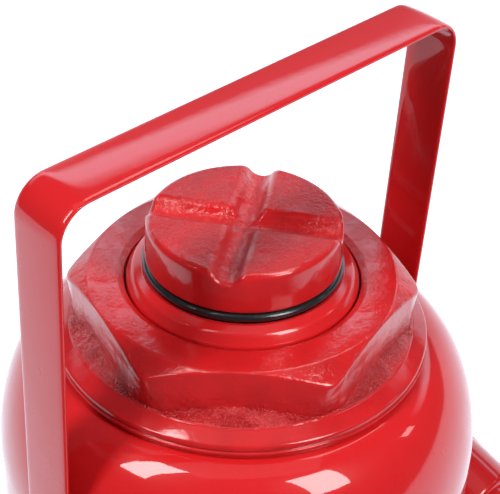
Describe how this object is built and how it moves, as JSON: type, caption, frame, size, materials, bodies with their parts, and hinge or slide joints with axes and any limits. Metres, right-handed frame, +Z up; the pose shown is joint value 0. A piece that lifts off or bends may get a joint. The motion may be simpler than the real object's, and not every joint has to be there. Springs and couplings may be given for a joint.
{
  "type": "hydraulic bottle jack",
  "caption": "Welded hydraulic bottle jack with a swinging strap handle, hexagon top nut, grooved swivel saddle on an extension screw, lever pump and release valve.",
  "frame": {"origin": "ram axis at the underside of the base casting", "axes": "+Z up along the ram; +X from the ram to the pump, in the plane of the carry handle; -Y towards the operator, where the handle socket points"},
  "size_m": [0.244, 0.2, 0.3644],
  "materials": {
    "red_enamel": "gloss",
    "cast_red": "gloss paint over a sand-cast skin",
    "black_oxide": "oiled black oxide",
    "ground_steel": "ground",
    "zinc_steel": "zinc plated",
    "spring_steel": "drawn",
    "bronze": "machined",
    "copper": "machined",
    "rubber": "matte",
    "polyurethane": "satin"
  },
  "bodies": {
    "jack_body": {"base_casting": "cast_red", "reservoir_tank": "red_enamel", "tank_base_gasket": "rubber", "tank_top_seal": "rubber", "suction_strainer": "bronze", "cylinder_tube": "ground_steel", "cylinder_gasket": "copper", "top_nut": "cast_red", "ram_wiper": "rubber", "ram_guide_bushing": "bronze", "handle_pivot_bolt_left": "zinc_steel", "handle_pivot_bolt_right": "zinc_steel", "pump_cylinder": "black_oxide", "pump_gasket": "copper", "pump_wiper": "rubber", "link_pin": "zinc_steel", "link_pin_clip": "spring_steel", "release_gland_nut": "zinc_steel", "inlet_ball_retainer": "zinc_steel", "delivery_spring": "spring_steel", "delivery_plug": "zinc_steel", "safety_spring": "spring_steel", "safety_screw": "zinc_steel", "safety_cap": "zinc_steel", "front_gallery_plug": "zinc_steel", "side_gallery_plug": "zinc_steel", "suction_gallery_plug": "zinc_steel"},
    "ram_group": {"ram": "red_enamel", "piston_cup_seal": "polyurethane", "piston_backup_ring": "rubber", "piston_wear_ring": "bronze"},
    "saddle_group": {"saddle": "cast_red", "saddle_snap_ring": "spring_steel"},
    "screw_group": {"extension_screw": "black_oxide"},
    "carry_handle_group": {"carry_handle": "red_enamel"},
    "plunger_group": {"pump_plunger": "ground_steel", "plunger_seal": "polyurethane"},
    "lever_group": {"pump_lever": "cast_red", "handle_socket": "red_enamel", "plunger_pin": "zinc_steel", "plunger_pin_clip": "spring_steel", "fulcrum_pin": "zinc_steel", "fulcrum_pin_clip": "spring_steel"},
    "link_group": {"fulcrum_link": "cast_red"},
    "release_seal_group": {"release_oring": "rubber"},
    "release_screw_group": {"release_screw": "black_oxide", "release_cross_pin": "zinc_steel"},
    "release_ball_group": {"release_ball": "ground_steel"},
    "inlet_ball_group": {"inlet_ball": "ground_steel"},
    "delivery_ball_group": {"delivery_ball": "ground_steel"},
    "safety_valve_group": {"safety_ball": "ground_steel", "safety_pusher": "zinc_steel"},
    "filler_plug_group": {"filler_plug": "rubber"}
  },
  "joints": [
    {"name": "ram_lift", "type": "slide", "parent": "jack_body", "child": "ram_group", "axis": [0, 0, 1], "range_m": [0, 0.14]},
    {"name": "handle_swing", "type": "hinge", "parent": "jack_body", "child": "carry_handle_group", "pos_m": [0, 0.0054, 0.066], "axis": [-1, 0, 0], "range_deg": [0, 90.1]},
    {"name": "saddle_extension", "type": "slide", "parent": "ram_group", "child": "saddle_group", "axis": [0, 0, 1], "range_m": [0, 0.03601]},
    {"name": "screw_turn", "type": "hinge", "parent": "saddle_group", "child": "screw_group", "pos_m": [0, 0, 0.297], "axis": [0, 0, 1], "range_deg": [0, 2160]},
    {"name": "plunger_stroke", "type": "slide", "parent": "jack_body", "child": "plunger_group", "axis": [0, 0, 1], "range_m": [0, 0.0239]},
    {"name": "lever_swing", "type": "hinge", "parent": "plunger_group", "child": "lever_group", "pos_m": [0.11, 0, 0.1485], "axis": [-1, 0, 0], "range_deg": [0, 43.1]},
    {"name": "link_swing", "type": "hinge", "parent": "jack_body", "child": "link_group", "pos_m": [0.11, 0.0304, 0.0875], "axis": [1, 0, 0], "range_deg": [0, 6.43]},
    {"name": "release_back_out", "type": "slide", "parent": "jack_body", "child": "release_seal_group", "axis": [0, -1, 0], "range_m": [0, 0.00225]},
    {"name": "release_turn", "type": "hinge", "parent": "release_seal_group", "child": "release_screw_group", "pos_m": [0.056, -0.084, 0.039], "axis": [0, -1, 0], "range_deg": [0, 541]},
    {"name": "release_ball_float", "type": "slide", "parent": "jack_body", "child": "release_ball_group", "axis": [0, -1, 0], "range_m": [0, 0.00151]},
    {"name": "inlet_ball_lift", "type": "slide", "parent": "jack_body", "child": "inlet_ball_group", "axis": [0, 0, 1], "range_m": [0, 0.0022]},
    {"name": "delivery_ball_lift", "type": "slide", "parent": "jack_body", "child": "delivery_ball_group", "axis": [0, 0, 1], "range_m": [0, 0.0025], "deforming": ["delivery_spring"]},
    {"name": "safety_valve_lift", "type": "slide", "parent": "jack_body", "child": "safety_valve_group", "axis": [0, 0, 1], "range_m": [0, 0.0015], "deforming": ["safety_spring"]},
    {"name": "filler_plug_pull", "type": "slide", "parent": "jack_body", "child": "filler_plug_group", "axis": [0, 1, 0], "range_m": [0, 0.02]}
  ],
  "couplings": [
    {"joint": "handle_swing", "follows": "ram_lift", "rad_per_m": 11.22},
    {"joint": "saddle_extension", "follows": "screw_turn", "m_per_rad": 0.00095493},
    {"joint": "lever_swing", "follows": "plunger_stroke", "rad_per_m": 31.401},
    {"joint": "link_swing", "follows": "plunger_stroke", "rad_per_m": 4.6226},
    {"joint": "release_turn", "follows": "release_back_out", "rad_per_m": 4188.8},
    {"joint": "release_ball_float", "follows": "release_back_out", "ratio": 0.66667}
  ]
}
